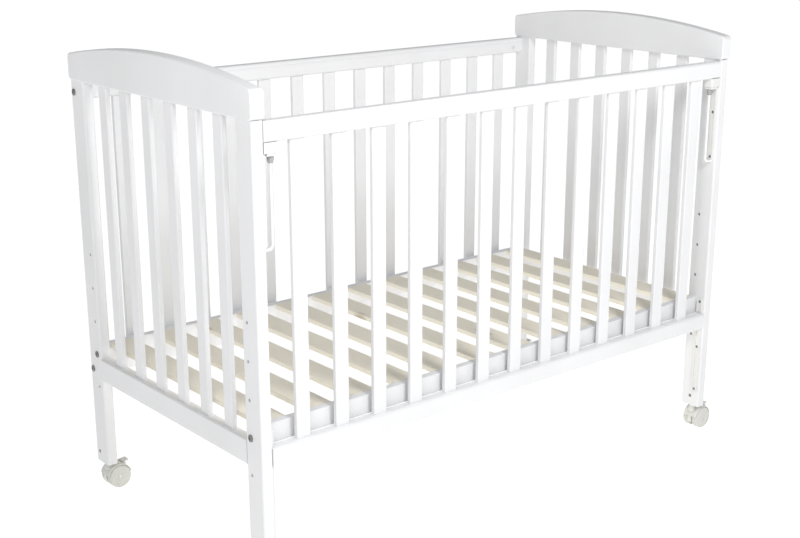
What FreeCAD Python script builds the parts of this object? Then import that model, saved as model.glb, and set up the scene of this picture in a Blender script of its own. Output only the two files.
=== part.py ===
import FreeCAD, Part
import math
import os

# Drop-side baby crib on twin-wheel casters.
# Row frame in millimetres: +X along the crib's length, -Y towards the drop side, +Z up.
# The origin lies on the floor under the middle of the crib.

V = FreeCAD.Vector

# ---- Driving dimensions --------------------------------------------------------------------

LENGTH = 1240.0            # over the outer faces of the posts
WIDTH = 634.0              # over the posts, front to back
POST_THICK = 23.0          # along the crib's length
POST_WIDTH = 49.0          # across the crib
LEG_FOOT_Z = 60.0          # the post's lower end, which stands on a caster
POST_TOP_Z = 866.0         # where the arched board sits
WOOD_EDGE = 4.0            # rounding of the posts' long edges

ARCH_THICK = 28.0
ARCH_OVERHANG = 3.0        # past the posts' front and back faces
ARCH_PEAK_Z = 946.0
ARCH_SHOULDER_Z = 917.0
ARCH_LOWER_CORNER = 10.0
ARCH_UPPER_CORNER = 10.0
ARCH_EDGE = 3.0

END_RAIL_Z = (249.0, 298.0)
END_SLAT_COUNT = 6
END_SLAT_PITCH = 80.8
END_SLAT_WIDTH = 29.0

SIDE_RAIL_THICK = 24.0
TOP_RAIL_Z = (828.0, 864.0)
LOWER_RAIL_Z = (253.0, 290.0)
SIDE_RAIL_EDGE = 5.5
RAIL_LINE_BELOW_TOP = 8.5   # a scored line along the back top rail's inner face
RAIL_LINE_WIDTH = 1.2
RAIL_LINE_DEPTH = 1.0
SIDE_SLAT_COUNT = 13
SIDE_SLAT_PITCH = 87.43
SIDE_SLAT_WIDTH = 30.0
SLAT_THICK = 10.0
SLAT_EDGE = 2.5
TENON = 12.0               # how deep a slat's end sits in its rail

DROP_END_GAP = 0.8         # between the drop side's rails and a post
BASE_RAIL_THICK = 17.0
BASE_RAIL_OUTER_Y = 292.0
BASE_RAIL_Z = (288.0, 326.0)
BASE_SLAT_COUNT = 12
BASE_SLAT_WIDTH = 53.0
BASE_SLAT_PITCH = 103.0
BASE_SLAT_THICK = 11.0
BASE_TENON_THICK = 6.0
BASE_TENON_LENGTH = 9.0
BASE_TENON_SHOULDER = 2.0  # at each side of a tenon
BASE_EDGE = 1.5            # rounding of the base's rails and slats

HEIGHT_HOLE_RADIUS = 3.5
HEIGHT_HOLE_PITCH = 71.0
HEIGHT_HOLE_FIRST_Z = 234.0
HEIGHT_HOLE_COUNT = 5
BASE_BOLT_HOLE = 1         # the second hole from below holds the mattress base

BOLT_RADIUS = 3.0
BOLT_HEAD_RADIUS = 6.75
BOLT_HEAD_EDGE = 0.8
BOLT_HEAD_THICK = 2.3
BOLT_LENGTH = 70.0
HEX_SOCKET_RADIUS = 2.3
HEX_SOCKET_DEPTH = 1.8
BARREL_NUT_RADIUS = 5.0
BARREL_NUT_LENGTH = 14.0
BARREL_NUT_INSET = 32.0    # from the post's inner face
BARREL_NUT_DEPTH = 0.5      # below the rail's face
SIDE_BOLT_Z = (268.5, 842.5)

DOWEL_RADIUS = 4.0
ARCH_DOWEL_Z = (857.0, 889.0)
ARCH_DOWEL_SPREAD = 12.0
RAIL_DOWEL_REACH = 25.0
RAIL_DOWEL_INSET = 13.0

GUIDE_STRIP_WIDTH = 14.0
GUIDE_STRIP_PROUD = 5.0
GUIDE_STRIP_END = 6.0      # rounding of its ends
GUIDE_GROOVE_WIDTH = 7.6
GUIDE_GROOVE_DEPTH = 1.6
UPPER_STRIP_Z = (648.5, 860.0)
LOWER_STRIP_Z = (96.0, 325.0)
UPPER_SCREW_Z = (654.0, 753.0, 852.0)
LOWER_SCREW_Z = (104.0, 208.0, 317.0)
SCREW_SHANK_RADIUS = 1.75
SCREW_HEAD_RADIUS = 3.3
SCREW_HEAD_THICK = 1.4
SCREW_LENGTH = 16.0
STRIP_CLEARANCE = 0.6

ROD_RADIUS = 3.0
ROD_FROM_POST = 20.0
ROD_TOP_Z = 855.0
ROD_BEND_RADIUS = 8.0
ROD_IN_POST = 12.0
ROD_BORE_RADIUS = 4.0
ROD_BELOW_STRIP = 0.5
RUNNING_FIT = 0.06         # radial

HOUSING_LENGTH = 27.5
HOUSING_Z = (810.0, 828.0)
HOUSING_CAVITY_TOP_Z = 823.0
HOUSING_WALL = 1.5
HOUSING_CORNER = 3.0
CATCH_Z = (805.0, 811.0)
CATCH_CLEARANCE = 0.5
CATCH_CORNER = 1.5
BUSH_RADIUS = 6.0
BUSH_TIP_RADIUS = 4.4
BUSH_SHOULDER_Z = 798.0
BUSH_TIP_Z = 792.0
SPRING_WIRE_RADIUS = 0.5
SPRING_MEAN_RADIUS = 6.3
SPRING_TURNS = 4
SPRING_ARCS_PER_TURN = 6

WHEEL_RADIUS = 25.0
WHEEL_WIDTH = 15.0
WHEEL_GAP = 10.0           # between a caster's two wheels
WHEEL_EDGE = 3.0
WHEEL_DISH_RADIUS = 17.0
WHEEL_DISH_FLOOR_RADIUS = 16.0
WHEEL_DISH_DEPTH = 1.2
WHEEL_HUB_RADIUS = 7.0
CASTER_TRAIL = 18.0        # from the swivel axis to the axle
AXLE_RADIUS = 3.0
WEB_THICK = 9.0
WEB_DEPTH = 9.0            # below the axle
HOOD_RADIUS = 28.0
HOOD_THICK = 2.2
HOOD_WIDTH = 36.0
HOOD_LOWER_EDGE = 6.0      # above the axle
NECK_RADIUS = 6.5
NECK_FOOT = 10.0           # above the axle
NECK_TOP_Z = 58.7
SHOULDER_RADIUS = 11.0
SHOULDER_Z = (43.7, 53.7)
STEM_RADIUS = 4.0
STEM_TOP_Z = 93.0
STEM_FOOT = 12.0           # above the axle
STEM_TIP_EDGE = 1.0
SOCKET_RADIUS = 5.0
SOCKET_TOP_Z = 95.0
SOCKET_FLANGE_RADIUS = 8.5
SOCKET_FLANGE_THICK = 1.0
SOCKET_END_GAP = 1.0       # above the stem
BRAKE_WIDTH = 16.0
BRAKE_PIN_DISTANCE = 28.7  # from the wheels' axle, just outside their treads
BRAKE_PIN_ANGLE = math.radians(58.5)
BRAKE_PIN_RADIUS = 1.5
BRAKE_LUG_RADIUS = 3.2
BRAKE_LUG_THICK = 3.0
BRAKE_SLOT_CLEARANCE = 0.6
BRAKE_SLOT_X = (-5.0, 40.0)    # from the brake's pin
BRAKE_SLOT_Z = (-10.0, 20.0)
BRAKE_LEVER_OUTLINE = [        # X and Z from the pin, the toe first
    (-0.9, -3.3), (-2.8, -0.8), (-3.0, 1.8), (-1.6, 4.6), (10.5, 6.0),
    (12.0, 5.0), (11.5, 3.0), (3.6, 1.2), (2.4, -1.6), (-0.9, -3.3),
]

SOCKET_SCREW_Z = 83.0
SOCKET_SCREW_HEAD_RADIUS = 4.0
SOCKET_SCREW_OFFSET = 9.5  # of the outer face's screw, beside the caster's socket
SOCKET_SCREW_TIP_GAP = 0.3

# ---- Derived places --------------------------------------------------------------------------

POST_OUTER_X = LENGTH / 2
POST_INNER_X = POST_OUTER_X - POST_THICK
POST_MID_X = (POST_OUTER_X + POST_INNER_X) / 2
POST_OUTER_Y = WIDTH / 2
POST_INNER_Y = POST_OUTER_Y - POST_WIDTH
POST_MID_Y = (POST_OUTER_Y + POST_INNER_Y) / 2
SIDE_MID_Y = POST_OUTER_Y - SIDE_RAIL_THICK / 2
SIDE_INNER_Y = POST_OUTER_Y - SIDE_RAIL_THICK
BASE_RAIL_INNER_Y = BASE_RAIL_OUTER_Y - BASE_RAIL_THICK
HOLE_LINE_Y = (BASE_RAIL_OUTER_Y + BASE_RAIL_INNER_Y) / 2
HEIGHT_HOLES_Z = [HEIGHT_HOLE_FIRST_Z + k * HEIGHT_HOLE_PITCH for k in range(HEIGHT_HOLE_COUNT)]
BASE_BOLT_Z = HEIGHT_HOLES_Z[BASE_BOLT_HOLE]
DROP_RAIL_END_X = POST_INNER_X - DROP_END_GAP
STRIP_FACE_X = POST_INNER_X - GUIDE_STRIP_PROUD
ROD_X = POST_INNER_X - ROD_FROM_POST
ROD_FOOT_Z = UPPER_STRIP_Z[0] - ROD_RADIUS - ROD_BELOW_STRIP
HOUSING_INNER_X = DROP_RAIL_END_X - HOUSING_LENGTH
STRIP_GROOVE_X = STRIP_FACE_X - STRIP_CLEARANCE
BRAKE_PIN_X = CASTER_TRAIL + BRAKE_PIN_DISTANCE * math.cos(BRAKE_PIN_ANGLE)
BRAKE_PIN_Z = WHEEL_RADIUS + BRAKE_PIN_DISTANCE * math.sin(BRAKE_PIN_ANGLE)
CASTER_PLACES = {
    "left_front": (-POST_MID_X, -POST_MID_Y),
    "left_back": (-POST_MID_X, POST_MID_Y),
    "right_front": (POST_MID_X, -POST_MID_Y),
    "right_back": (POST_MID_X, POST_MID_Y),
}


# ---- Shape helpers ---------------------------------------------------------------------------

def box(x, y, z):
    """A box from three (low, high) pairs."""
    low = V(min(x), min(y), min(z))
    return Part.makeBox(abs(x[1] - x[0]), abs(y[1] - y[0]), abs(z[1] - z[0]), low)


def edges_along(shape, axis):
    """The straight edges of a shape that run along X, Y or Z."""
    return [
        edge for edge in shape.Edges
        if isinstance(edge.Curve, (Part.Line, Part.LineSegment))
        and abs(abs(edge.tangentAt(edge.FirstParameter).dot(axis)) - 1) < 1e-6
    ]


def bar(x, y, z, axis, radius):
    """A box whose four edges along one axis are rounded."""
    solid = box(x, y, z)
    return solid.makeFillet(radius, edges_along(solid, axis))


def rod(start, end, radius):
    """A round bar from one point to another."""
    direction = end - start
    return Part.makeCylinder(radius, direction.Length, start, direction)


def mirror_x(shape):
    return shape.mirror(V(0, 0, 0), V(1, 0, 0))


def mirror_y(shape):
    return shape.mirror(V(0, 0, 0), V(0, 1, 0))


def both_ends(solids):
    """Solids made for the right end, with their mirror images for the left end."""
    return list(solids) + [mirror_x(solid) for solid in solids]


def centred_places(count, pitch):
    return [(k - (count - 1) / 2) * pitch for k in range(count)]


def cut_all(solid, tools):
    result = solid
    for tool in tools:
        result = result.cut(tool)
    return result


def export(name, solids):
    Part.makeCompound(solids).exportStep(os.path.join("parts", name + ".step"))


# ---- Fasteners -------------------------------------------------------------------------------

def bolt(y, z):
    """A furniture bolt through the right end's post, with a flat round head and a hex socket."""
    head_face_x = POST_OUTER_X + BOLT_HEAD_THICK
    shank = rod(V(POST_OUTER_X - BOLT_LENGTH, y, z), V(POST_OUTER_X, y, z), BOLT_RADIUS)
    head = rod(V(POST_OUTER_X, y, z), V(head_face_x, y, z), BOLT_HEAD_RADIUS)
    rim = [edge for edge in head.Edges if abs(edge.BoundBox.XMin - head_face_x) < 1e-3]
    head = head.makeChamfer(BOLT_HEAD_EDGE, rim)
    corners = [
        V(head_face_x, y + HEX_SOCKET_RADIUS * math.cos(k * math.pi / 3),
          z + HEX_SOCKET_RADIUS * math.sin(k * math.pi / 3))
        for k in range(7)
    ]
    socket = Part.Face(Part.makePolygon(corners)).extrude(V(-HEX_SOCKET_DEPTH, 0, 0))
    return shank.fuse(head).removeSplitter().cut(socket)


def barrel_nut(y, z, open_towards):
    """A cross dowel in a rail, its hole opening on the rail's face at open_towards."""
    x = POST_INNER_X - BARREL_NUT_INSET
    direction = 1 if open_towards > y else -1
    face = V(x, open_towards - direction * BARREL_NUT_DEPTH, z)
    inner = face - V(0, direction * BARREL_NUT_LENGTH, 0)
    return rod(inner, face, BARREL_NUT_RADIUS)


def strip_screw(z):
    """A countersunk screw that fixes a guide strip to the right front post."""
    groove_floor = STRIP_FACE_X + GUIDE_GROOVE_DEPTH
    start = V(groove_floor, -SIDE_MID_Y, z)
    head = rod(start, start + V(SCREW_HEAD_THICK, 0, 0), SCREW_HEAD_RADIUS)
    shank = rod(start, start + V(SCREW_LENGTH, 0, 0), SCREW_SHANK_RADIUS)
    return head.fuse(shank).removeSplitter()


def socket_screw(start, direction, length):
    """A short screw by a caster's socket, its head flush with the leg's face."""
    head = rod(start, start + direction * SCREW_HEAD_THICK, SOCKET_SCREW_HEAD_RADIUS)
    shank = rod(start, start + direction * length, SCREW_SHANK_RADIUS)
    return head.fuse(shank).removeSplitter()


def socket_screws(side):
    """One leg's two screws: one reaches the socket from the inner face, one passes beside it."""
    inner_face = V(POST_INNER_X, side * POST_MID_Y, SOCKET_SCREW_Z)
    outer_face = V(POST_OUTER_X, side * (POST_MID_Y + SOCKET_SCREW_OFFSET), SOCKET_SCREW_Z)
    reach = POST_MID_X - SOCKET_RADIUS - SOCKET_SCREW_TIP_GAP - POST_INNER_X
    return [
        socket_screw(inner_face, V(1, 0, 0), reach),
        socket_screw(outer_face, V(-1, 0, 0), SCREW_LENGTH),
    ]


def arch_dowels(side):
    return [
        rod(V(POST_MID_X, side * (POST_MID_Y + offset), ARCH_DOWEL_Z[0]),
            V(POST_MID_X, side * (POST_MID_Y + offset), ARCH_DOWEL_Z[1]), DOWEL_RADIUS)
        for offset in (-ARCH_DOWEL_SPREAD, ARCH_DOWEL_SPREAD)
    ]


def rail_dowels(side):
    return [
        rod(V(POST_MID_X, side * (POST_INNER_Y - RAIL_DOWEL_REACH), z),
            V(POST_MID_X, side * (POST_INNER_Y + RAIL_DOWEL_REACH), z), DOWEL_RADIUS)
        for z in (END_RAIL_Z[0] + RAIL_DOWEL_INSET, END_RAIL_Z[1] - RAIL_DOWEL_INSET)
    ]


def caster_socket(side):
    """The sleeve in the leg's end that the caster's stem turns in."""
    centre = V(POST_MID_X, side * POST_MID_Y, LEG_FOOT_Z)
    flange_foot = centre - V(0, 0, SOCKET_FLANGE_THICK)
    sleeve = rod(flange_foot, V(centre.x, centre.y, SOCKET_TOP_Z), SOCKET_RADIUS)
    flange = rod(flange_foot, centre, SOCKET_FLANGE_RADIUS)
    bore = rod(flange_foot, V(centre.x, centre.y, STEM_TOP_Z + SOCKET_END_GAP), STEM_RADIUS + RUNNING_FIT)
    return sleeve.fuse(flange).removeSplitter().cut(bore)


side_bolts = [bolt(SIDE_MID_Y, z) for z in SIDE_BOLT_Z]
base_bolts = {side: bolt(side * HOLE_LINE_Y, BASE_BOLT_Z) for side in (-1, 1)}
side_nuts = [barrel_nut(SIDE_MID_Y, z, SIDE_INNER_Y) for z in SIDE_BOLT_Z]
base_nuts = {
    side: barrel_nut(side * HOLE_LINE_Y, BASE_BOLT_Z, side * BASE_RAIL_INNER_Y)
    for side in (-1, 1)
}
upper_screws = [strip_screw(z) for z in UPPER_SCREW_Z]
lower_screws = [strip_screw(z) for z in LOWER_SCREW_Z]
sockets = {side: caster_socket(side) for side in (-1, 1)}
leg_screws = {side: socket_screws(side) for side in (-1, 1)}


# ---- Drop side's guides ----------------------------------------------------------------------

def guide_strip(z_range, screws):
    """A strip with rounded ends and a shallow groove down its face, screwed to the right front post."""
    half_width = GUIDE_STRIP_WIDTH / 2
    y = (-SIDE_MID_Y - half_width, -SIDE_MID_Y + half_width)
    strip = box((STRIP_FACE_X, POST_INNER_X), y, z_range)
    strip = strip.makeFillet(GUIDE_STRIP_END, edges_along(strip, V(1, 0, 0)))
    groove = box((STRIP_FACE_X, STRIP_FACE_X + GUIDE_GROOVE_DEPTH),
                 (-SIDE_MID_Y - GUIDE_GROOVE_WIDTH / 2, -SIDE_MID_Y + GUIDE_GROOVE_WIDTH / 2),
                 (z_range[0], z_range[1]))
    return cut_all(strip, [groove] + screws)


def guide_rod():
    """The steel rod that the drop side runs on, bent outwards into the post at its foot."""
    y = -SIDE_MID_Y
    bend_start = V(ROD_X, y, ROD_FOOT_Z + ROD_BEND_RADIUS)
    bend_end = V(ROD_X + ROD_BEND_RADIUS, y, ROD_FOOT_Z)
    bend_centre = V(ROD_X + ROD_BEND_RADIUS, y, ROD_FOOT_Z + ROD_BEND_RADIUS)
    inward = V(-math.sqrt(0.5), 0, -math.sqrt(0.5))
    bend_middle = bend_centre + inward * ROD_BEND_RADIUS
    top = V(ROD_X, y, ROD_TOP_Z)
    path = Part.Wire([
        Part.LineSegment(top, bend_start).toShape(),
        Part.Arc(bend_start, bend_middle, bend_end).toShape(),
        Part.LineSegment(bend_end, V(POST_INNER_X + ROD_IN_POST, y, ROD_FOOT_Z)).toShape(),
    ])
    section = Part.Wire([Part.makeCircle(ROD_RADIUS, top, V(0, 0, -1))])
    return path.makePipeShell([section], True, False)


strips = {
    "upper": guide_strip(UPPER_STRIP_Z, upper_screws),
    "lower": guide_strip(LOWER_STRIP_Z, lower_screws),
}
right_rod = guide_rod()
rod_hole = rod(V(POST_INNER_X, -SIDE_MID_Y, ROD_FOOT_Z),
               V(POST_INNER_X + ROD_IN_POST, -SIDE_MID_Y, ROD_FOOT_Z), ROD_RADIUS)


# ---- End frames ------------------------------------------------------------------------------

def post(side):
    """One post of the right end. side is -1 for the front post and 1 for the back post."""
    y = (side * POST_INNER_Y, side * POST_OUTER_Y)
    solid = bar((POST_INNER_X, POST_OUTER_X), y, (LEG_FOOT_Z, POST_TOP_Z), V(0, 0, 1), WOOD_EDGE)
    height_holes = [
        rod(V(POST_INNER_X, side * HOLE_LINE_Y, z), V(POST_OUTER_X, side * HOLE_LINE_Y, z),
            HEIGHT_HOLE_RADIUS)
        for z in HEIGHT_HOLES_Z
    ]
    sleeve_hole = rod(V(POST_MID_X, side * POST_MID_Y, LEG_FOOT_Z),
                      V(POST_MID_X, side * POST_MID_Y, SOCKET_TOP_Z), SOCKET_RADIUS)
    tools = height_holes + arch_dowels(side) + rail_dowels(side) + leg_screws[side] + [sleeve_hole]
    if side < 0:
        tools = tools + upper_screws + lower_screws + [rod_hole]
    else:
        tools = tools + side_bolts
    return cut_all(solid, tools)


def end_slats():
    """The end's slats, centred in the rails' thickness and let into the rail and the arch."""
    half = END_SLAT_WIDTH / 2
    return [
        bar((POST_MID_X - SLAT_THICK / 2, POST_MID_X + SLAT_THICK / 2), (y - half, y + half),
            (END_RAIL_Z[1] - TENON, POST_TOP_Z + TENON), V(0, 0, 1), SLAT_EDGE)
        for y in centred_places(END_SLAT_COUNT, END_SLAT_PITCH)
    ]


def arch_board(slats):
    """The board across an end's top: a straight lower edge and one long arc above."""
    x0 = POST_MID_X - ARCH_THICK / 2
    x1 = POST_MID_X + ARCH_THICK / 2
    half = POST_OUTER_Y + ARCH_OVERHANG
    low_front = V(x0, -half, POST_TOP_Z)
    low_back = V(x0, half, POST_TOP_Z)
    high_back = V(x0, half, ARCH_SHOULDER_Z)
    high_front = V(x0, -half, ARCH_SHOULDER_Z)
    outline = Part.Wire([
        Part.LineSegment(low_front, low_back).toShape(),
        Part.LineSegment(low_back, high_back).toShape(),
        Part.Arc(high_back, V(x0, 0, ARCH_PEAK_Z), high_front).toShape(),
        Part.LineSegment(high_front, low_front).toShape(),
    ])
    board = Part.Face(outline).extrude(V(x1 - x0, 0, 0))
    corners = edges_along(board, V(1, 0, 0))
    lower = [edge for edge in corners if edge.BoundBox.ZMax < POST_TOP_Z + 1]
    board = board.makeFillet(ARCH_LOWER_CORNER, lower)
    corners = edges_along(board, V(1, 0, 0))
    upper = [edge for edge in corners if edge.BoundBox.ZMin > ARCH_SHOULDER_Z - 1]
    board = board.makeFillet(ARCH_UPPER_CORNER, upper)
    rim = [edge for edge in board.Edges if edge.BoundBox.XLength < 1e-3]
    board = board.makeFillet(ARCH_EDGE, rim)
    return cut_all(board, slats + arch_dowels(-1) + arch_dowels(1))


def end_rail(slats):
    y = (-POST_INNER_Y, POST_INNER_Y)
    rail = bar((POST_INNER_X, POST_OUTER_X), y, END_RAIL_Z, V(0, 1, 0), WOOD_EDGE)
    return cut_all(rail, slats + rail_dowels(-1) + rail_dowels(1))


def build_ends(nodes):
    slats = end_slats()
    pieces = {
        "front_post": [post(-1)],
        "back_post": [post(1)],
        "arch_board": [arch_board(slats)],
        "bottom_rail": [end_rail(slats)],
        "slats": slats,
    }
    for name, solids in pieces.items():
        nodes["right_end_" + name] = solids
        nodes["left_end_" + name] = [mirror_x(solid) for solid in solids]


# ---- Long sides ------------------------------------------------------------------------------

def side_slats(side):
    y = (side * SIDE_MID_Y - SLAT_THICK / 2, side * SIDE_MID_Y + SLAT_THICK / 2)
    z = (LOWER_RAIL_Z[1] - TENON, TOP_RAIL_Z[0] + TENON)
    half = SIDE_SLAT_WIDTH / 2
    return [
        bar((x - half, x + half), y, z, V(0, 0, 1), SLAT_EDGE)
        for x in centred_places(SIDE_SLAT_COUNT, SIDE_SLAT_PITCH)
    ]


def side_rail(side, end_x, z):
    y = (side * SIDE_INNER_Y, side * POST_OUTER_Y)
    return bar((-end_x, end_x), y, z, V(1, 0, 0), SIDE_RAIL_EDGE)


def nut_hole(nut, open_towards):
    """The blind hole a barrel nut sits in, open at the rail's inner face."""
    bounds = nut.BoundBox
    far_y = bounds.YMin if open_towards > bounds.YMax else bounds.YMax
    centre = bounds.Center
    return rod(V(centre.x, far_y, centre.z), V(centre.x, open_towards, centre.z), BARREL_NUT_RADIUS)


def build_back_side(nodes):
    slats = side_slats(1)
    holes = both_ends(side_bolts + [nut_hole(nut, SIDE_INNER_Y) for nut in side_nuts])
    top = side_rail(1, POST_INNER_X, TOP_RAIL_Z)
    lower = side_rail(1, POST_INNER_X, LOWER_RAIL_Z)
    line_z = TOP_RAIL_Z[1] - RAIL_LINE_BELOW_TOP
    scored_line = box((-POST_INNER_X, POST_INNER_X), (SIDE_INNER_Y, SIDE_INNER_Y + RAIL_LINE_DEPTH),
                      (line_z - RAIL_LINE_WIDTH, line_z))
    nodes["back_top_rail"] = [cut_all(top, slats + holes + [scored_line])]
    nodes["back_bottom_rail"] = [cut_all(lower, slats + holes)]
    nodes["back_slats"] = slats


def strip_groove(z):
    """The notch in a drop-side rail's end that straddles the guide strip."""
    half = GUIDE_STRIP_WIDTH / 2 + STRIP_CLEARANCE
    return box((STRIP_GROOVE_X, POST_INNER_X), (-SIDE_MID_Y - half, -SIDE_MID_Y + half), z)


def build_drop_side(nodes):
    slats = side_slats(-1)
    top = side_rail(-1, DROP_RAIL_END_X, TOP_RAIL_Z)
    lower = side_rail(-1, DROP_RAIL_END_X, LOWER_RAIL_Z)
    rod_bore = rod(V(ROD_X, -SIDE_MID_Y, TOP_RAIL_Z[0]), V(ROD_X, -SIDE_MID_Y, TOP_RAIL_Z[1]),
                   ROD_BORE_RADIUS)
    nodes["drop_top_rail"] = [cut_all(top, slats + both_ends([strip_groove(TOP_RAIL_Z), rod_bore]))]
    nodes["drop_bottom_rail"] = [cut_all(lower, slats + both_ends([strip_groove(LOWER_RAIL_Z)]))]
    nodes["drop_slats"] = slats


# ---- Catches under the drop side's top rail ----------------------------------------------------

def catch_housing():
    """A moulded block under the right end of the top rail, open below, with the rod through it."""
    y = (-POST_OUTER_Y, -SIDE_INNER_Y)
    block = box((HOUSING_INNER_X, DROP_RAIL_END_X), y, HOUSING_Z)
    inner_edges = [edge for edge in edges_along(block, V(0, 0, 1)) if edge.BoundBox.XMax < ROD_X]
    block = block.makeFillet(HOUSING_CORNER, inner_edges)
    cavity = box((HOUSING_INNER_X + HOUSING_WALL, STRIP_GROOVE_X - HOUSING_WALL),
                 (y[0] + HOUSING_WALL, y[1] - HOUSING_WALL), (HOUSING_Z[0], HOUSING_CAVITY_TOP_Z))
    bore = rod(V(ROD_X, -SIDE_MID_Y, HOUSING_Z[0]), V(ROD_X, -SIDE_MID_Y, HOUSING_Z[1]), ROD_BORE_RADIUS)
    return cut_all(block, [cavity, bore, strip_groove(HOUSING_Z)])


def catch_plate():
    """The sliding plate that fills the housing's mouth and is pushed up to free the side."""
    margin = HOUSING_WALL + CATCH_CLEARANCE
    x = (HOUSING_INNER_X + margin, STRIP_GROOVE_X - margin)
    y = (-POST_OUTER_Y + margin, -SIDE_INNER_Y - margin)
    plate = bar(x, y, CATCH_Z, V(0, 0, 1), CATCH_CORNER)
    bore = rod(V(ROD_X, -SIDE_MID_Y, CATCH_Z[0]), V(ROD_X, -SIDE_MID_Y, CATCH_Z[1]), ROD_BORE_RADIUS)
    return plate.cut(bore)


def catch_bush():
    """The tapered push button below the plate, bored to run on the rod."""
    axis = V(0, 0, 1)
    centre = V(ROD_X, -SIDE_MID_Y, 0)
    collar = Part.makeCylinder(BUSH_RADIUS, CATCH_Z[0] - BUSH_SHOULDER_Z, centre + axis * BUSH_SHOULDER_Z)
    taper = Part.makeCone(BUSH_TIP_RADIUS, BUSH_RADIUS, BUSH_SHOULDER_Z - BUSH_TIP_Z,
                          centre + axis * BUSH_TIP_Z)
    bore = rod(centre + axis * BUSH_TIP_Z, centre + axis * CATCH_Z[0], ROD_RADIUS + RUNNING_FIT)
    return collar.fuse(taper).removeSplitter().cut(bore)


def catch_spring():
    """The coil spring that holds the plate down, its wire led along arcs of a sixth of a turn."""
    foot_z = CATCH_Z[1] + SPRING_WIRE_RADIUS
    height = HOUSING_CAVITY_TOP_Z - SPRING_WIRE_RADIUS - foot_z
    segments = SPRING_TURNS * SPRING_ARCS_PER_TURN

    def coil_point(share):
        angle = 2 * math.pi * SPRING_TURNS * share
        return V(ROD_X + SPRING_MEAN_RADIUS * math.cos(angle),
                 -SIDE_MID_Y + SPRING_MEAN_RADIUS * math.sin(angle), foot_z + height * share)

    arcs = [
        Part.Arc(coil_point(k / segments), coil_point((k + 0.5) / segments), coil_point((k + 1) / segments))
        for k in range(segments)
    ]
    path = Part.Wire([arc.toShape() for arc in arcs])
    section = Part.Wire([Part.makeCircle(SPRING_WIRE_RADIUS, coil_point(0), arcs[0].tangent(0)[0])])
    return path.makePipeShell([section], True, True)


def build_catches(nodes):
    housing = catch_housing()
    plate = catch_plate()
    bush = catch_bush()
    spring = catch_spring()
    nodes["catch_housings"] = both_ends([housing])
    nodes["right_catch_plate"] = [plate]
    nodes["left_catch_plate"] = [mirror_x(plate)]
    nodes["right_catch_bush"] = [bush]
    nodes["left_catch_bush"] = [mirror_x(bush)]
    nodes["right_catch_spring"] = [spring]
    nodes["left_catch_spring"] = [mirror_x(spring)]


# ---- Mattress base ---------------------------------------------------------------------------

def base_slats():
    """Cross slats whose thinner ends are let into the base's two long rails."""
    top = BASE_RAIL_Z[1]
    tenon_top = top - (BASE_SLAT_THICK - BASE_TENON_THICK) / 2
    half = BASE_SLAT_WIDTH / 2
    tenon_half = half - BASE_TENON_SHOULDER
    reach = BASE_RAIL_INNER_Y + BASE_TENON_LENGTH
    solids = []
    for x in centred_places(BASE_SLAT_COUNT, BASE_SLAT_PITCH):
        body = bar((x - half, x + half), (-BASE_RAIL_INNER_Y, BASE_RAIL_INNER_Y),
                   (top - BASE_SLAT_THICK, top), V(0, 1, 0), BASE_EDGE)
        tenon = box((x - tenon_half, x + tenon_half), (-reach, reach), (tenon_top - BASE_TENON_THICK, tenon_top))
        solids.append(body.fuse(tenon).removeSplitter())
    return solids


def base_rail(side, slats):
    y = (side * BASE_RAIL_INNER_Y, side * BASE_RAIL_OUTER_Y)
    rail = bar((-POST_INNER_X, POST_INNER_X), y, BASE_RAIL_Z, V(1, 0, 0), BASE_EDGE)
    holes = both_ends([base_bolts[side], nut_hole(base_nuts[side], side * BASE_RAIL_INNER_Y)])
    return cut_all(rail, slats + holes)


def build_base(nodes):
    slats = base_slats()
    nodes["base_front_rail"] = [base_rail(-1, slats)]
    nodes["base_back_rail"] = [base_rail(1, slats)]
    nodes["base_slats"] = slats


# ---- Fasteners and guides as nodes -------------------------------------------------------------

def build_fittings(nodes):
    bored_side_nuts = [nut.cut(fastener) for nut, fastener in zip(side_nuts, side_bolts)]
    bored_base_nuts = [base_nuts[side].cut(base_bolts[side]) for side in (-1, 1)]
    nodes["side_bolts"] = both_ends(side_bolts)
    nodes["base_bolts"] = both_ends(base_bolts.values())
    nodes["barrel_nuts"] = both_ends(bored_side_nuts + bored_base_nuts)
    nodes["guide_screws"] = both_ends(upper_screws + lower_screws)
    nodes["caster_socket_screws"] = both_ends(leg_screws[-1] + leg_screws[1])
    nodes["dowels"] = both_ends(arch_dowels(-1) + arch_dowels(1) + rail_dowels(-1) + rail_dowels(1))
    nodes["caster_sockets"] = both_ends(sockets.values())
    nodes["upper_guide_strips"] = both_ends([strips["upper"]])
    nodes["lower_guide_strips"] = both_ends([strips["lower"]])
    nodes["guide_rods"] = both_ends([right_rod])


# ---- Casters, made with the swivel axis at X = Y = 0 -------------------------------------------

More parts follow.
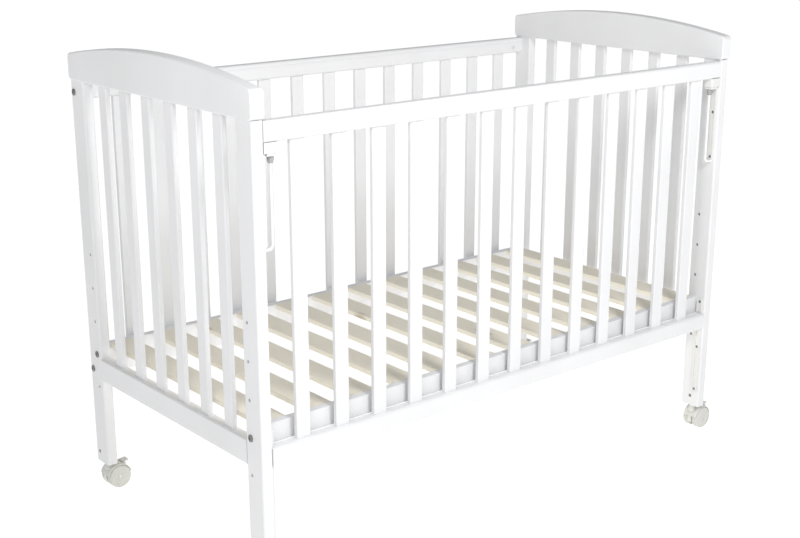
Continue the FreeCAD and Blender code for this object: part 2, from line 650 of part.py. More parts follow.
def caster_hood():
    """The swivelling body: a web between the wheels, a curved cover over them, a neck and two lugs."""
    half_web = WEB_THICK / 2
    half_hood = HOOD_WIDTH / 2
    reach = 2 * HOOD_RADIUS
    axle = V(CASTER_TRAIL, 0, WHEEL_RADIUS)
    along = V(0, 1, 0)
    outer = Part.makeCylinder(HOOD_RADIUS, HOOD_WIDTH, axle - along * half_hood, along)
    outer = outer.makeFillet(HOOD_THICK / 2, [edge for edge in outer.Edges if edge.BoundBox.YLength < 1e-3])
    above = box((axle.x - reach, axle.x + reach), (-reach, reach), (WHEEL_RADIUS + HOOD_LOWER_EDGE, 2 * reach))
    neck = rod(V(0, 0, WHEEL_RADIUS + NECK_FOOT), V(0, 0, NECK_TOP_Z), NECK_RADIUS)
    shoulder = Part.makeCone(SHOULDER_RADIUS, NECK_RADIUS, SHOULDER_Z[1] - SHOULDER_Z[0], V(0, 0, SHOULDER_Z[0]))
    lug_outer = BRAKE_WIDTH / 2 + BRAKE_SLOT_CLEARANCE + BRAKE_LUG_THICK
    lugs = Part.makeCylinder(BRAKE_LUG_RADIUS, 2 * lug_outer, V(BRAKE_PIN_X, -lug_outer, BRAKE_PIN_Z), along)
    cover = outer.common(above).fuse([neck, shoulder, lugs])
    wheel_room = Part.makeCylinder(HOOD_RADIUS - HOOD_THICK, 2 * reach, axle - along * reach, along)
    cover = cover.cut(wheel_room)
    web = Part.makeCylinder(HOOD_RADIUS - HOOD_THICK / 2, WEB_THICK, axle - along * half_web, along)
    web = web.cut(box((axle.x - reach, axle.x + reach), (-reach, reach), (-reach, WHEEL_RADIUS - WEB_DEPTH)))
    body = cover.fuse(web).removeSplitter()
    axle_hole = rod(axle - along * half_web, axle + along * half_web, AXLE_RADIUS)
    stem_hole = rod(V(0, 0, WHEEL_RADIUS + STEM_FOOT), V(0, 0, NECK_TOP_Z), STEM_RADIUS)
    return cut_all(body, [axle_hole, stem_hole, brake_slot()])


def brake_slot():
    """The opening at the trailing end of the hood that the brake lever works in."""
    half = BRAKE_WIDTH / 2 + BRAKE_SLOT_CLEARANCE
    x = (BRAKE_PIN_X + BRAKE_SLOT_X[0], BRAKE_PIN_X + BRAKE_SLOT_X[1])
    z = (BRAKE_PIN_Z + BRAKE_SLOT_Z[0], BRAKE_PIN_Z + BRAKE_SLOT_Z[1])
    return box(x, (-half, half), z)


def brake_lever():
    """A tread that tips about its pin, with a toe below that comes down on both wheels."""
    half = BRAKE_WIDTH / 2
    points = [V(BRAKE_PIN_X + dx, -half, BRAKE_PIN_Z + dz) for dx, dz in BRAKE_LEVER_OUTLINE]
    tread = Part.Face(Part.makePolygon(points)).extrude(V(0, BRAKE_WIDTH, 0))
    pin_bore = rod(V(BRAKE_PIN_X, -half, BRAKE_PIN_Z), V(BRAKE_PIN_X, half, BRAKE_PIN_Z),
                   BRAKE_PIN_RADIUS + RUNNING_FIT)
    return tread.cut(pin_bore)


def caster_pins():
    """The upright stem, the wheels' axle with its riveted ends, and the brake lever's pin."""
    stem = rod(V(0, 0, WHEEL_RADIUS + STEM_FOOT), V(0, 0, STEM_TOP_Z), STEM_RADIUS)
    tip = [edge for edge in stem.Edges if edge.BoundBox.ZMin > STEM_TOP_Z - STEM_TIP_EDGE]
    stem = stem.makeChamfer(STEM_TIP_EDGE, tip)
    end = WHEEL_GAP / 2 + WHEEL_WIDTH - WHEEL_DISH_DEPTH
    axle = rod(V(CASTER_TRAIL, -end, WHEEL_RADIUS), V(CASTER_TRAIL, end, WHEEL_RADIUS), AXLE_RADIUS)
    half = BRAKE_WIDTH / 2 + BRAKE_SLOT_CLEARANCE + BRAKE_LUG_THICK
    pin = rod(V(BRAKE_PIN_X, -half, BRAKE_PIN_Z), V(BRAKE_PIN_X, half, BRAKE_PIN_Z), BRAKE_PIN_RADIUS)
    return stem, axle, pin


def caster_wheel():
    """The wheel on the +Y side of a caster: rounded tread edges and a dished outer face."""
    inner_y = WHEEL_GAP / 2
    outer_y = inner_y + WHEEL_WIDTH
    along = V(0, 1, 0)
    centre = V(CASTER_TRAIL, inner_y, WHEEL_RADIUS)
    disc = Part.makeCylinder(WHEEL_RADIUS, WHEEL_WIDTH, centre, along)
    disc = disc.makeFillet(WHEEL_EDGE, [edge for edge in disc.Edges if edge.BoundBox.YLength < 1e-3])
    dish_foot = V(CASTER_TRAIL, outer_y - WHEEL_DISH_DEPTH, WHEEL_RADIUS)
    dish = Part.makeCone(WHEEL_DISH_FLOOR_RADIUS, WHEEL_DISH_RADIUS, WHEEL_DISH_DEPTH, dish_foot, along)
    hub = Part.makeCylinder(WHEEL_HUB_RADIUS, WHEEL_DISH_DEPTH, dish_foot, along)
    bore = Part.makeCylinder(AXLE_RADIUS + RUNNING_FIT, WHEEL_WIDTH, centre, along)
    return disc.cut(dish.cut(hub)).cut(bore)


def build_casters(nodes):
    hood = caster_hood()
    stem, axle, pin = caster_pins()
    hood = cut_all(hood, [pin])
    back_wheel = caster_wheel()
    front_wheel = mirror_y(back_wheel)
    lever = brake_lever()
    pieces = {
        "hood": [hood],
        "stem": [stem],
        "axle_and_brake_pin": [axle, pin],
        "front_wheel": [front_wheel],
        "back_wheel": [back_wheel],
        "brake_lever": [lever],
    }
    for place, (x, y) in CASTER_PLACES.items():
        for name, solids in pieces.items():
            nodes[place + "_caster_" + name] = [solid.translated(V(x, y, 0)) for solid in solids]


def main():
    nodes = {}
    build_ends(nodes)
    build_back_side(nodes)
    build_drop_side(nodes)
    build_catches(nodes)
    build_base(nodes)
    build_fittings(nodes)
    build_casters(nodes)
    os.makedirs("parts", exist_ok=True)
    for name, solids in nodes.items():
        for solid in solids:
            if not solid.isValid() or len(solid.Solids) != 1:
                print("check", name, solid.isValid(), len(solid.Solids))
        export(name, solids)
    print(len(nodes), "nodes")


main()
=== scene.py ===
import math

import bmesh
import bpy
from mathutils import Matrix, Vector


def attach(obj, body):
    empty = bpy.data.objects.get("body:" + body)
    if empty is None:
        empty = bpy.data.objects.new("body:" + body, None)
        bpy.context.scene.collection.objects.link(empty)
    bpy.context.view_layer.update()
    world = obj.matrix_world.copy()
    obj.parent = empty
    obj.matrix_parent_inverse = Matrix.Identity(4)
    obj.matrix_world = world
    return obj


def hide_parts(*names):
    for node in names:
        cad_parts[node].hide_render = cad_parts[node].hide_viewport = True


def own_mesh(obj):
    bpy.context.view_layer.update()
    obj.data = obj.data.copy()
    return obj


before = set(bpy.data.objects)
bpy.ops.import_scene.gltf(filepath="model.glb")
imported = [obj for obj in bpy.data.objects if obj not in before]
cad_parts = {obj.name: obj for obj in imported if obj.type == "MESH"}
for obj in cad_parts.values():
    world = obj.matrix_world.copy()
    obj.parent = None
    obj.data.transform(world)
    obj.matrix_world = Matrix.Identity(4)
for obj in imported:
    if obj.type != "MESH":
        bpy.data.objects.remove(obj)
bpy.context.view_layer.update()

# ---- The studio: sizes in metres, angles in degrees --------------------------------------------

CAMERA_PLACE = (-1.799, -2.108, 1.232)
CAMERA_TILT = 73.03
CAMERA_HEADING = -39.76
CAMERA_LENS = 60.1
CAMERA_SHIFT_Y = 0.0277
CAMERA_REACH = 100.0
SENSOR_WIDTH = 36.0

WHITE = (1.0, 1.0, 1.0, 1.0)
FLOOR_HALF = 30.0
FLOOR_COLOUR = (0.62, 0.62, 0.62)
FLOOR_GLOW = 0.79

SKY_STRENGTH = 0.37
KEY_PLACE = (-0.35, -1.80, 1.95)
KEY_TARGET = (0.0, 0.0, 0.75)
KEY_SIZE = 0.7
KEY_POWER = 25.0
FILL_PLACE = (-1.35, -1.0, 1.45)
FILL_TARGET = (-0.3, 0.0, 0.75)
FILL_SIZE = 0.6
FILL_POWER = 6.4

# ---- Finishes: linear colours ------------------------------------------------------------------

PAINT = (0.832, 0.836, 0.848)
PAINT_SHADE = (0.796, 0.799, 0.808)
# worn paint on chipped edges, and also the painted shade in the corners and joints of the painted wood
PAINT_WORN_AND_SHADE = (0.640, 0.636, 0.620)
PINE_LIGHT = (0.930, 0.895, 0.790)
PINE_DARK = (0.850, 0.795, 0.660)
PINE_KNOT = (0.340, 0.235, 0.140)
BEECH = (0.560, 0.380, 0.220)
WHITE_PLASTIC = (0.780, 0.780, 0.765)
GREY_PLASTIC = (0.340, 0.342, 0.350)
RUBBED_PLASTIC = (0.85, 0.85, 0.83)
IVORY = (0.740, 0.740, 0.700)
IVORY_TREAD = (0.680, 0.680, 0.640)
# dust specks on the plastic, and also the painted shade in its corners and joints
DUST_AND_SHADE = (0.300, 0.280, 0.240)
ZINC = (0.700, 0.710, 0.720)
BRONZED = (0.200, 0.192, 0.184)
PLATED_ROD = (0.900, 0.902, 0.905)

GRAIN_DRAW = 22.0                # how many times finer the grain is across a board than along it
GRAIN_SCALES = {
    "X": (1.0, GRAIN_DRAW, GRAIN_DRAW),
    "Y": (GRAIN_DRAW, 1.0, GRAIN_DRAW),
    "Z": (GRAIN_DRAW, GRAIN_DRAW, 1.0),
}
BASE_SLAT_PITCH = 0.103          # metres from one base slat to the next
SHADER_SAMPLES = 4               # for edge and crevice finding
EDGE_SPAN = 1.0 / 6.0            # the change of facing that counts as a full edge
CREVICE_OPEN = 0.75              # the openness where a crevice starts, and where it is complete
CREVICE_SHUT = 0.2

# ---- Places of the detailed pieces: metres, as in the CAD --------------------------------------

POST_MIDDLE_X = 0.6085
POST_MIDDLE_Y = 0.2925
POST_OUTER_X = 0.620
POST_INNER_X = 0.597
SIDE_MIDDLE_Y = 0.305
HEIGHT_HOLE_Y = 0.2835
SIDE_BOLT_Z = (0.2685, 0.8425)
BASE_BOLT_Z = 0.305
STRIP_SCREW_X = 0.5936
STRIP_SCREW_Z = (0.104, 0.208, 0.317, 0.654, 0.753, 0.852)
SOCKET_SCREW_Z = 0.083
SOCKET_SCREW_OUTER_Y = 0.302
WHEEL_TRAIL_X = 0.018            # from the swivel's axis
WHEEL_RADIUS = 0.025
WHEEL_INNER_Y = 0.005            # from the middle of the caster

# ---- Shapes of the turned pieces ---------------------------------------------------------------
# An outline is (radius, height) pairs in millimetres.

MM = 0.001
TURNED_SEGMENTS = 72
SHARP_ANGLE = math.radians(32.0)
TINY = 1e-6                      # keeps a division away from zero

# Heights start at the wheel's inner face.
WHEEL_OUTLINE = [
    (3.06, 0.3), (3.4, 0.0), (7.0, 0.0),                                          # bore and hub
    (7.6, 2.2), (19.6, 2.2), (20.4, 0.0), (22.6, 0.0),                            # dished inner face
    (24.1, 0.6), (24.8, 1.7), (25.0, 3.0),                                        # inner shoulder
    (25.0, 4.4), (24.5, 4.6), (24.5, 5.2), (25.0, 5.4),                           # first tread groove
    (25.0, 9.2), (24.5, 9.4), (24.5, 10.0), (25.0, 10.2),                         # second tread groove
    (25.0, 12.0), (24.8, 13.2), (24.1, 14.3), (22.6, 14.9), (21.0, 15.0),         # outer shoulder
    (19.0, 15.0), (18.7, 14.5), (18.2, 14.4), (17.8, 14.6),                       # ring on the outer face
    (14.0, 14.85), (9.0, 14.95), (8.2, 14.9), (7.9, 14.4), (7.4, 14.4), (7.1, 14.9),
    (3.5, 15.0), (3.06, 14.6),                                                    # hub and bore
]
# Heights start at the face that the head rests on, or at the top of a flush screw's head.
BOLT_OUTLINE = [
    (2.6, -70.0), (3.0, -69.4), (3.0, 0.0),
    (6.6, 0.0), (6.75, 0.2), (6.75, 1.3), (6.5, 1.7), (5.6, 2.1), (4.2, 2.28), (3.3, 2.3),
]
STRIP_SCREW_OUTLINE = [(0.3, -16.0), (1.7, -13.5), (1.7, -1.4), (1.9, -1.2), (3.25, -0.25), (3.25, 0.0)]
SOCKET_SCREW_OUTLINE = [(1.2, -6.0), (1.7, -5.6), (1.7, -1.4), (1.9, -1.2), (3.95, -0.25), (3.95, 0.0)]
BOLT_SOCKET_CORNER = 2.3         # from the middle of the six-sided recess to its corners
BOLT_SOCKET_MOUTH = 2.3
BOLT_SOCKET_FLOOR = 0.7
CROSS_HALF_LENGTH = 2.1
CROSS_HALF_WIDTH = 0.45
CROSS_DEPTH = 0.8
CROSS_TAPER = 0.8                # the recess's size at its floor against its mouth

# ---- The catch springs: metres -----------------------------------------------------------------

SPRING_X = 0.577                 # negated on the left
SPRING_Y = -0.305
SPRING_FOOT_Z = 0.8111           # just clear of the catch plate
SPRING_TOP_Z = 0.823
SPRING_WIRE = 0.0005
SPRING_RADIUS = 0.0063
SPRING_TURNS = 4
SPRING_STEPS = 28                # sections in one turn
SPRING_SIDES = 12                # corners of the wire's section


# ---- Material building -------------------------------------------------------------------------

class Finish:
    """A procedural material being put together, with short calls for the nodes that all of them use."""

    def __init__(self, name):
        self.material = bpy.data.materials.new(name)
        self.material.use_nodes = True
        self.tree = self.material.node_tree
        self.shader = self.tree.nodes["Principled BSDF"]
        self.place = self.tree.nodes.new("ShaderNodeTexCoord").outputs["Object"]

    def set(self, **values):
        for name, value in values.items():
            self.shader.inputs[name.replace("_", " ")].default_value = value

    def feed(self, socket, value):
        """Puts a socket's output, a colour or a number into an input."""
        if isinstance(value, bpy.types.NodeSocket):
            self.tree.links.new(value, socket)
        elif isinstance(value, tuple) and len(socket.default_value) > len(value):
            socket.default_value = (*value, 1.0)
        else:
            socket.default_value = value

    def node(self, kind, settings=None, **inputs):
        made = self.tree.nodes.new("ShaderNode" + kind)
        for name, value in (settings or {}).items():
            setattr(made, name, value)
        for name, value in inputs.items():
            self.feed(made.inputs[name.replace("_", " ")], value)
        return made

    def scaled(self, scale):
        """The object's coordinates, multiplied along each axis, so that noise can be drawn out."""
        return self.node("Mapping", Vector=self.place, Scale=scale).outputs["Vector"]

    def noise(self, scale, detail=3.0, roughness=0.55, vector=None, distortion=0.0):
        made = self.node("TexNoise", Vector=vector or self.place, Scale=scale, Detail=detail,
                         Roughness=roughness, Distortion=distortion)
        return made.outputs["Fac"]

    def remap(self, value, low, high, to_low=0.0, to_high=1.0):
        made = self.node("MapRange", Value=value, From_Min=low, From_Max=high, To_Min=to_low, To_Max=to_high)
        return made.outputs["Result"]

    def math(self, operation, a, b=0.0):
        made = self.node("Math", {"operation": operation})
        self.feed(made.inputs[0], a)
        self.feed(made.inputs[1], b)
        return made.outputs["Value"]

    def weighed(self, value, weight):
        return self.math("MULTIPLY", value, weight)

    def mix(self, factor, a, b):
        """A colour between a and b. Each is a colour or a socket."""
        made = self.node("Mix", {"data_type": "RGBA"})
        colour_inputs = [socket for socket in made.inputs if socket.type == "RGBA"]
        self.feed(made.inputs[0], factor)
        for socket, value in zip(colour_inputs, (a, b)):
            self.feed(socket, value)
        return [socket for socket in made.outputs if socket.type == "RGBA"][0]

    def edges(self, radius):
        """1 on the rounded edges of the shape, 0 on its flats."""
        soft = self.node("Bevel", {"samples": SHADER_SAMPLES}, Radius=radius).outputs["Normal"]
        true = self.node("NewGeometry").outputs["Normal"]
        turn = self.node("VectorMath", {"operation": "DOT_PRODUCT"})
        self.feed(turn.inputs[0], soft)
        self.feed(turn.inputs[1], true)
        return self.remap(turn.outputs["Value"], low=1.0, high=1.0 - EDGE_SPAN)

    def crevice_shade(self, distance):
        """A mask for painted shade, found by ambient occlusion: 1 in corners and joints, 0 in the open."""
        shade = self.node("AmbientOcclusion", {"samples": SHADER_SAMPLES}, Distance=distance).outputs["AO"]
        return self.remap(shade, low=CREVICE_OPEN, high=CREVICE_SHUT)

    def bump(self, height, strength, distance, below=None):
        made = self.node("Bump", Height=height, Strength=strength, Distance=distance)
        if below is not None:
            self.feed(made.inputs["Normal"], below)
        return made.outputs["Normal"]

    def finish(self, colour, roughness, normal=None):
        self.feed(self.shader.inputs["Base Color"], colour)
        self.feed(self.shader.inputs["Roughness"], roughness)
        if normal is not None:
            self.feed(self.shader.inputs["Normal"], normal)
        return self.material


def toned(colour, gain, lift=0.0):
    """A colour made lighter or darker."""
    return tuple(min(1.0, c * gain + lift) for c in colour)


def painted_wood(axis):
    """Satin white paint, brushed along the grain, with the wood's grain faintly raised under it."""
    f = Finish("painted_wood_" + axis.lower())
    along = f.scaled(GRAIN_SCALES[axis])
    grain = f.noise(scale=7.0, detail=6.0, roughness=0.6, vector=along, distortion=0.4)
    brush = f.noise(scale=42.0, detail=2.0, roughness=0.5, vector=along)
    peel = f.noise(scale=420.0, detail=2.0)
    cloud = f.noise(scale=5.0, detail=2.0)
    tone = f.mix(f.remap(cloud, low=0.35, high=0.65), PAINT, PAINT_SHADE)
    tone = f.mix(f.weighed(f.remap(grain, low=0.48, high=0.70), weight=0.16), tone, PAINT_SHADE)
    flaked = f.remap(f.noise(scale=60.0, detail=4.0), low=0.60, high=0.72)
    chips = f.math("MULTIPLY", f.edges(radius=0.0022), flaked)
    tone = f.mix(f.weighed(chips, weight=0.35), tone, PAINT_WORN_AND_SHADE)
    # painted shade: the paint is darkened towards the worn colour in corners and joints, where ambient
    # occlusion finds them
    tone = f.mix(f.weighed(f.crevice_shade(distance=0.006), weight=0.12), tone, PAINT_WORN_AND_SHADE)
    rough = f.remap(f.math("ADD", brush, cloud), low=0.6, high=1.4, to_low=0.34, to_high=0.50)
    normal = f.bump(grain, strength=0.10, distance=0.0006)
    normal = f.bump(brush, strength=0.06, distance=0.0003, below=normal)
    normal = f.bump(peel, strength=0.05, distance=0.0002, below=normal)
    f.set(Coat_Weight=0.12, Coat_Roughness=0.28)
    return f.finish(tone, rough, normal)


def bare_pine():
    """Planed pine along Y: growth rings, pores, a different tone from board to board, and knots."""
    f = Finish("bare_pine_y")
    across_x, along_y, across_z = GRAIN_SCALES["Y"]
    along = f.scaled((across_x, along_y, across_z))
    one_a_board = f.scaled((1.0 / BASE_SLAT_PITCH, 0.4, 0.4))
    whole = f.node("VectorMath", {"operation": "FLOOR"}, Vector=one_a_board).outputs["Vector"]
    board = f.node("TexWhiteNoise", {"noise_dimensions": "3D"}, Vector=whole).outputs["Value"]
    wander = f.noise(scale=2.2, detail=3.0, vector=along, distortion=0.6)
    shifted = f.math("ADD", f.weighed(wander, weight=26.0), f.weighed(board, weight=9.0))
    from_ring = f.math("ABSOLUTE", f.math("SUBTRACT", f.math("FRACT", shifted), 0.5))
    ring_line = f.remap(from_ring, low=0.5, high=0.12)
    pore_scales = (math.sqrt(across_x), math.sqrt(along_y), math.sqrt(across_z))
    pores = f.noise(scale=190.0, detail=3.0, vector=f.scaled(pore_scales))
    tone = f.mix(f.weighed(ring_line, weight=0.55), PINE_DARK, PINE_LIGHT)
    tone = f.mix(f.remap(board, low=0.0, high=1.0, to_low=0.0, to_high=0.35), tone, PINE_LIGHT)
    tone = f.mix(f.weighed(f.remap(pores, low=0.52, high=0.70), weight=0.25), tone, PINE_DARK)
    knot_scales = (1.0, 0.35, 1.0)
    spots = f.node("TexVoronoi", Vector=f.scaled(knot_scales), Scale=7.0).outputs["Distance"]
    knot = f.remap(spots, low=0.075, high=0.035)
    tone = f.mix(f.weighed(knot, weight=0.7), tone, PINE_KNOT)
    # painted shade: the pine is darkened towards its dark grain colour in corners and joints, where ambient
    # occlusion finds them
    tone = f.mix(f.weighed(f.crevice_shade(distance=0.008), weight=0.4), tone, PINE_DARK)
    rough = f.remap(pores, low=0.3, high=0.7, to_low=0.50, to_high=0.68)
    normal = f.bump(ring_line, strength=0.12, distance=0.0004)
    normal = f.bump(pores, strength=0.10, distance=0.0002, below=normal)
    return f.finish(tone, rough, normal)


def moulded_plastic(name, colour, drifted, roughness, dust=0.0):
    """Moulded plastic with a fine spark-eroded texture, slight colour drift and rubbed edges."""
    f = Finish(name)
    drift = f.noise(scale=45.0, detail=2.0)
    spark = f.noise(scale=1400.0, detail=2.0)
    tone = f.mix(f.remap(drift, low=0.3, high=0.7, to_low=0.0, to_high=0.35), colour, drifted)
    tone = f.mix(f.weighed(f.edges(radius=0.0012), weight=0.18), tone, RUBBED_PLASTIC)
    if dust:
        specks = f.remap(f.noise(scale=240.0, detail=4.0), low=0.50, high=0.72)
        tone = f.mix(f.weighed(specks, weight=dust), tone, DUST_AND_SHADE)
    # painted shade: the plastic is darkened towards the dust colour in corners and joints, where ambient
    # occlusion finds them
    tone = f.mix(f.weighed(f.crevice_shade(distance=0.004), weight=0.45), tone, DUST_AND_SHADE)
    spread = 0.06
    rough = f.remap(drift, low=0.3, high=0.7, to_low=roughness - spread, to_high=roughness + spread)
    normal = f.bump(spark, strength=0.10, distance=0.0001)
    return f.finish(tone, rough, normal)


def steel(name, colour, roughness, metallic=1.0):
    """Plated or blackened steel: drawn scratches, cloudy plating and brighter rubbed edges."""
    f = Finish(name)
    drawn_out = (1.0, 1.0, 0.12)
    scratches = f.noise(scale=260.0, detail=4.0, vector=f.scaled(drawn_out))
    cloud = f.noise(scale=70.0, detail=3.0)
    lighter = toned(colour, gain=1.5, lift=0.05)
    tone = f.mix(f.remap(cloud, low=0.3, high=0.7, to_low=0.0, to_high=0.5), colour, lighter)
    tone = f.mix(f.weighed(f.edges(radius=0.0008), weight=0.4), tone, lighter)
    polished, dulled = roughness - 0.10, roughness + 0.12
    rough = f.remap(f.math("ADD", scratches, cloud), low=0.6, high=1.4, to_low=polished, to_high=dulled)
    normal = f.bump(scratches, strength=0.12, distance=0.0001)
    f.set(Metallic=metallic)
    return f.finish(tone, rough, normal)


def beech():
    """Turned beech, for the dowels."""
    f = Finish("beech")
    grain = f.noise(scale=9.0, detail=5.0, vector=f.scaled(GRAIN_SCALES["Z"]))
    tone = f.mix(f.remap(grain, low=0.35, high=0.65), BEECH, toned(BEECH, gain=0.8))
    rough = f.remap(grain, low=0.3, high=0.7, to_low=0.55, to_high=0.68)
    return f.finish(tone, rough, f.bump(grain, strength=0.15, distance=0.0003))


def studio_floor():
    f = Finish("studio_floor")
    cloud = f.noise(scale=1.5, detail=2.0)
    shade = f.mix(f.remap(cloud, low=0.3, high=0.7), FLOOR_COLOUR, toned(FLOOR_COLOUR, gain=0.99))
    rough = f.remap(cloud, low=0.0, high=1.0, to_low=0.85, to_high=0.95)
    f.set(Emission_Color=WHITE, Emission_Strength=FLOOR_GLOW, Specular_IOR_Level=0.0)
    return f.finish(shade, rough)


# ---- Floor, light and camera -------------------------------------------------------------------

def place_in_scene(name, data):
    obj = bpy.data.objects.new(name, data)
    bpy.context.scene.collection.objects.link(obj)
    return obj


def make_floor():
    mesh = bpy.data.meshes.new("floor")
    h = FLOOR_HALF
    mesh.from_pydata([(-h, -h, 0), (h, -h, 0), (h, h, 0), (-h, h, 0)], [], [(0, 1, 2, 3)])
    floor = place_in_scene("floor", mesh)
    mesh.materials.append(studio_floor())


def make_light(name, place, target, size, power):
    data = bpy.data.lights.new(name, "AREA")
    data.shape = "DISK"
    data.size = size
    data.energy = power
    light = place_in_scene(name, data)
    light.location = place
    light.rotation_euler = (Vector(target) - light.location).to_track_quat("-Z", "Y").to_euler()


def make_world():
    world = bpy.data.worlds.new("studio")
    world.use_nodes = True
    background = world.node_tree.nodes["Background"]
    background.inputs["Color"].default_value = WHITE
    background.inputs["Strength"].default_value = SKY_STRENGTH
    bpy.context.scene.world = world
    bpy.context.scene.view_settings.view_transform = "Standard"


def make_camera():
    data = bpy.data.cameras.new("camera")
    data.sensor_width = SENSOR_WIDTH
    data.lens = CAMERA_LENS
    data.shift_y = CAMERA_SHIFT_Y
    data.clip_end = CAMERA_REACH
    camera = place_in_scene("camera", data)
    camera.location = CAMERA_PLACE
    camera.rotation_euler = (math.radians(CAMERA_TILT), 0.0, math.radians(CAMERA_HEADING))
    bpy.context.scene.camera = camera


# ---- Mesh building -----------------------------------------------------------------------------

def hexagon(radius):
    """Distance from the middle to a hexagon's edge, by angle."""
    def edge(angle):
        turn = angle % (math.pi / 3) - math.pi / 6
        return radius * math.cos(math.pi / 6) / math.cos(turn)
    return edge


def cross(half_length, half_width):
    """Distance from the middle to the edge of a cross of two bars, by angle."""
    def edge(angle):
        along, across = abs(math.cos(angle)), abs(math.sin(angle))
        bars = []
        for near, far in ((along, across), (across, along)):
            reach = half_length / max(near, TINY)
            side = half_width / max(far, TINY)
            bars.append(min(reach, side))
        return max(bars)
    return edge


def bridge(bm, low, high):
    """Joins two loops of the same number of corners with a strip of faces."""
    for k in range(len(low)):
        n = (k + 1) % len(low)
        bm.faces.new((low[k], low[n], high[n], high[k]))


def cap(bm, loop, middle_point):
    middle = bm.verts.new(middle_point)
    for k in range(len(loop)):
        bm.faces.new((loop[k], loop[(k + 1) % len(loop)], middle))


def turned(bm, rings, place, closed_loop):
    """Adds a turned body to a mesh. A ring is a radius, or a radius by angle, and a height in mm."""
    loops = []
    for radius, height in rings:
        loop = []
        for k in range(TURNED_SEGMENTS):
            angle = 2 * math.pi * k / TURNED_SEGMENTS
            r = radius(angle) if callable(radius) else radius
            point = Vector((r * math.cos(angle), r * math.sin(angle), height)) * MM
            loop.append(bm.verts.new(place @ point))
        loops.append(loop)
    for low, high in zip(loops, loops[1:]):
        bridge(bm, low, high)
    if closed_loop:
        bridge(bm, loops[-1], loops[0])
    else:
        for end in (0, -1):
            height = rings[end][1] * MM
            cap(bm, loops[end], place @ Vector((0.0, 0.0, height)))


def pointing(place, direction):
    """A matrix that takes a turned body's axis to a direction in the row frame."""
    turn = Vector((0.0, 0.0, 1.0)).rotation_difference(Vector(direction)).to_matrix().to_4x4()
    return Matrix.Translation(place) @ turn


def make_piece(name, build, material, body, node):
    """A mesh object filled by build(bm), riding on a body in place of its CAD node."""
    mesh = bpy.data.meshes.new(name)
    bm = bmesh.new()
    build(bm)
    bmesh.ops.recalc_face_normals(bm, faces=bm.faces)
    bm.to_mesh(mesh)
    bm.free()
    mesh.shade_smooth()
    mesh.set_sharp_from_angle(angle=SHARP_ANGLE)
    mesh.materials.append(material)
    piece = place_in_scene(name, mesh)
    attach(piece, body)
    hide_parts(node)
    return piece


# ---- Wheels, springs and fasteners -------------------------------------------------------------

ENDS = {"left": -1, "right": 1}
ROWS = {"front": -1, "back": 1}


def make_wheels(material):
    for end, end_sign in ENDS.items():
        for row, row_sign in ROWS.items():
            for wheel, side in ROWS.items():
                place = (end_sign * POST_MIDDLE_X + WHEEL_TRAIL_X,
                         row_sign * POST_MIDDLE_Y + side * WHEEL_INNER_Y, WHEEL_RADIUS)
                matrix = pointing(place, (0.0, side, 0.0))
                corner = end + "_" + row
                make_piece(corner + "_" + wheel + "_wheel_turned",
                           lambda bm, m=matrix: turned(bm, WHEEL_OUTLINE, m, closed_loop=True),
                           material, corner + "_" + wheel + "_wheel",
                           corner + "_caster_" + wheel + "_wheel")


def coil(bm, sign):
    """Adds a catch's coil spring to a mesh, from its foot to its top."""
    steps = SPRING_TURNS * SPRING_STEPS
    foot = SPRING_FOOT_Z + SPRING_WIRE
    top = SPRING_TOP_Z - SPRING_WIRE
    loops = []
    for k in range(steps + 1):
        angle = 2 * math.pi * k / SPRING_STEPS
        out = Vector((sign * math.cos(angle), math.sin(angle), 0.0))
        middle = Vector((sign * SPRING_X, SPRING_Y, foot + (top - foot) * k / steps))
        loop = []
        for j in range(SPRING_SIDES):
            turn = 2 * math.pi * j / SPRING_SIDES
            reach = SPRING_RADIUS + SPRING_WIRE * math.cos(turn)
            rise = Vector((0.0, 0.0, SPRING_WIRE * math.sin(turn)))
            loop.append(bm.verts.new(middle + out * reach + rise))
        loops.append(loop)
    for low, high in zip(loops, loops[1:]):
        bridge(bm, low, high)
    bm.faces.new(loops[0])
    bm.faces.new(loops[-1])


def make_springs(material):
    for end, sign in ENDS.items():
        spring = make_piece(end + "_catch_spring_coiled", lambda bm, s=sign: coil(bm, s), material,
                            "drop_side", end + "_catch_spring")
        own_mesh(spring)


def bolt_rings():
    recess = hexagon(BOLT_SOCKET_CORNER)
    return BOLT_OUTLINE + [(recess, BOLT_SOCKET_MOUTH), (recess, BOLT_SOCKET_FLOOR)]


def screw_rings(outline):
    mouth = cross(CROSS_HALF_LENGTH, CROSS_HALF_WIDTH)
    return outline + [(mouth, 0.0), (lambda angle: CROSS_TAPER * mouth(angle), -CROSS_DEPTH)]


def along_x(x, y, z, direction):
    """The place and the direction of a fastener that runs along X."""
    return (x, y, z), (direction, 0, 0)


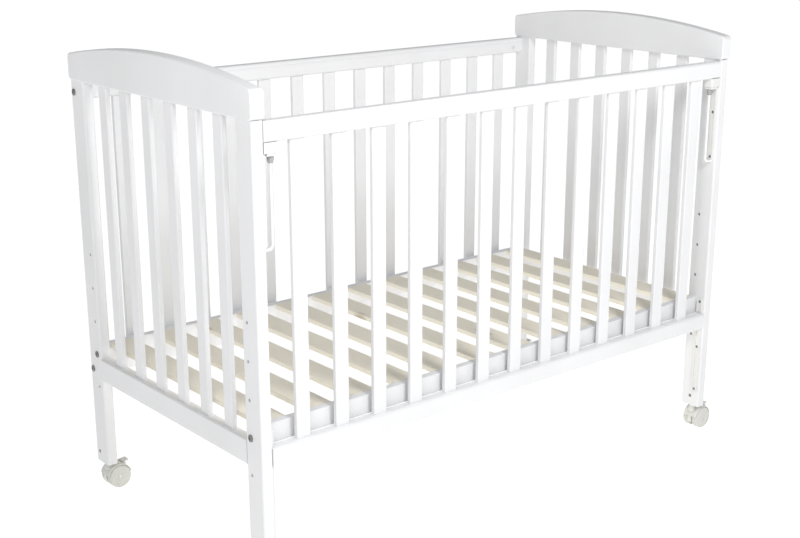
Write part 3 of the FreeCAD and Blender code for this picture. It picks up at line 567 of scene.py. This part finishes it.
def make_fasteners(material):
    corners = [(end, row) for end in ENDS.values() for row in ROWS.values()]
    socket_screws = [along_x(end * POST_INNER_X, row * POST_MIDDLE_Y, SOCKET_SCREW_Z, -end)
                     for end, row in corners]
    socket_screws += [along_x(end * POST_OUTER_X, row * SOCKET_SCREW_OUTER_Y, SOCKET_SCREW_Z, end)
                      for end, row in corners]
    fasteners = {
        "side_bolts": (bolt_rings(), [along_x(end * POST_OUTER_X, SIDE_MIDDLE_Y, z, end)
                                      for end in ENDS.values() for z in SIDE_BOLT_Z]),
        "base_bolts": (bolt_rings(), [along_x(end * POST_OUTER_X, row * HEIGHT_HOLE_Y, BASE_BOLT_Z, end)
                                      for end, row in corners]),
        "guide_screws": (screw_rings(STRIP_SCREW_OUTLINE),
                         [along_x(end * STRIP_SCREW_X, -SIDE_MIDDLE_Y, z, -end)
                          for end in ENDS.values() for z in STRIP_SCREW_Z]),
        "caster_socket_screws": (screw_rings(SOCKET_SCREW_OUTLINE), socket_screws),
    }
    for node, (rings, spots) in fasteners.items():
        def build(bm):
            for place, direction in spots:
                turned(bm, rings, pointing(place, direction), closed_loop=False)
        make_piece(node + "_turned", build, material, "crib_frame", node)


# ---- Finishes onto the CAD nodes, and the detailed pieces --------------------------------------

def give(material, names):
    for name in names:
        node_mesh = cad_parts[name].data
        node_mesh.materials.clear()
        node_mesh.materials.append(material)


def named(*endings):
    """The CAD nodes whose names end in one of these."""
    return [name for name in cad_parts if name.endswith(endings)]


def dress_wood():
    give(painted_wood("Z"), [name for name in named("_post", "_slats") if name != "base_slats"])
    give(painted_wood("Y"), named("arch_board", "end_bottom_rail"))
    give(painted_wood("X"), ["back_top_rail", "back_bottom_rail", "drop_top_rail", "drop_bottom_rail",
                             "base_front_rail", "base_back_rail"])
    give(bare_pine(), ["base_slats"])
    give(beech(), ["dowels"])


def dress_plastic():
    white = moulded_plastic("white_plastic", WHITE_PLASTIC, PAINT_SHADE, roughness=0.38)
    give(white, ["upper_guide_strips", "lower_guide_strips", "catch_housings"] + named("_catch_plate"))
    grey = moulded_plastic("grey_plastic", GREY_PLASTIC, toned(GREY_PLASTIC, gain=1.4), roughness=0.45)
    give(grey, named("_catch_bush"))
    ivory = moulded_plastic("ivory_plastic", IVORY, toned(IVORY, gain=0.94), roughness=0.40, dust=0.10)
    give(ivory, named("_hood", "_brake_lever"))
    tread = moulded_plastic("ivory_wheel", IVORY_TREAD, toned(IVORY_TREAD, gain=0.9), roughness=0.52,
                            dust=0.25)
    make_wheels(tread)


def dress_steel():
    give(steel("plated_rod", PLATED_ROD, roughness=0.55, metallic=0.45), ["guide_rods"])
    zinc = steel("zinc_steel", ZINC, roughness=0.34)
    give(zinc, ["barrel_nuts", "caster_sockets"] + named("_stem", "_axle_and_brake_pin"))
    make_springs(zinc)
    make_fasteners(steel("dark_steel", BRONZED, roughness=0.42, metallic=0.8))


make_camera()
make_world()
make_floor()
make_light("key", KEY_PLACE, KEY_TARGET, KEY_SIZE, KEY_POWER)
make_light("fill", FILL_PLACE, FILL_TARGET, FILL_SIZE, FILL_POWER)
dress_wood()
dress_plastic()
dress_steel()
